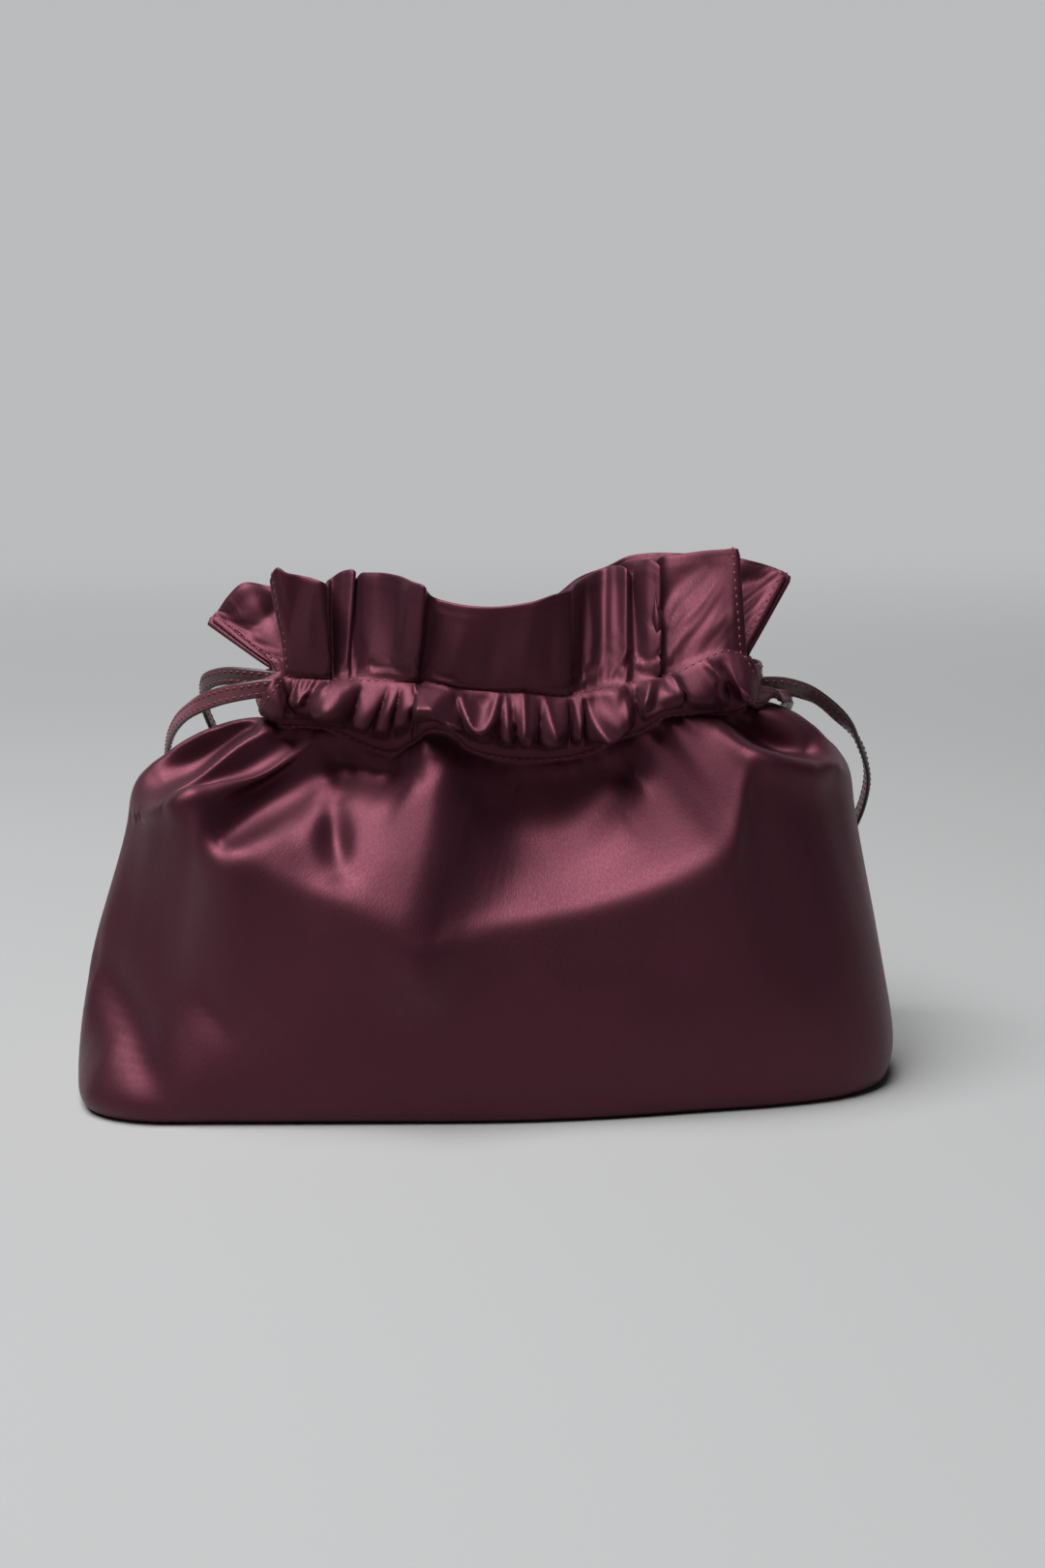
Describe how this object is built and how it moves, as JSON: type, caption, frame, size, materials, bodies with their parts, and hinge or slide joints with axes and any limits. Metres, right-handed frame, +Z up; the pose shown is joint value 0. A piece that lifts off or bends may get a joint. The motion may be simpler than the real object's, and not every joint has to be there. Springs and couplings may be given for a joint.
{
  "type": "drawstring pouch",
  "caption": "Satin drawstring pouch with a gathered casing and a frill above it, standing on a flat base, with flat leather drawstrings looped behind it.",
  "frame": {"origin": "middle of the base, on the surface that the pouch stands on", "axes": "+Z up, front of the pouch towards -Y, +X to the right as seen from the front"},
  "size_m": [0.303, 0.1161, 0.1915],
  "materials": {
    "satin": "heavy satin with a soft sheen",
    "lining_cloth": "plain woven lining, matt",
    "strap_leather": "smooth leather, two rows of stitching"
  },
  "bodies": {
    "root": {"outer_front_panel": "satin", "outer_back_panel": "satin", "front_facing": "satin", "back_facing": "satin", "front_lining": "lining_cloth", "back_lining": "lining_cloth", "drawstring_left": "strap_leather", "drawstring_right": "strap_leather"}
  },
  "joints": []
}
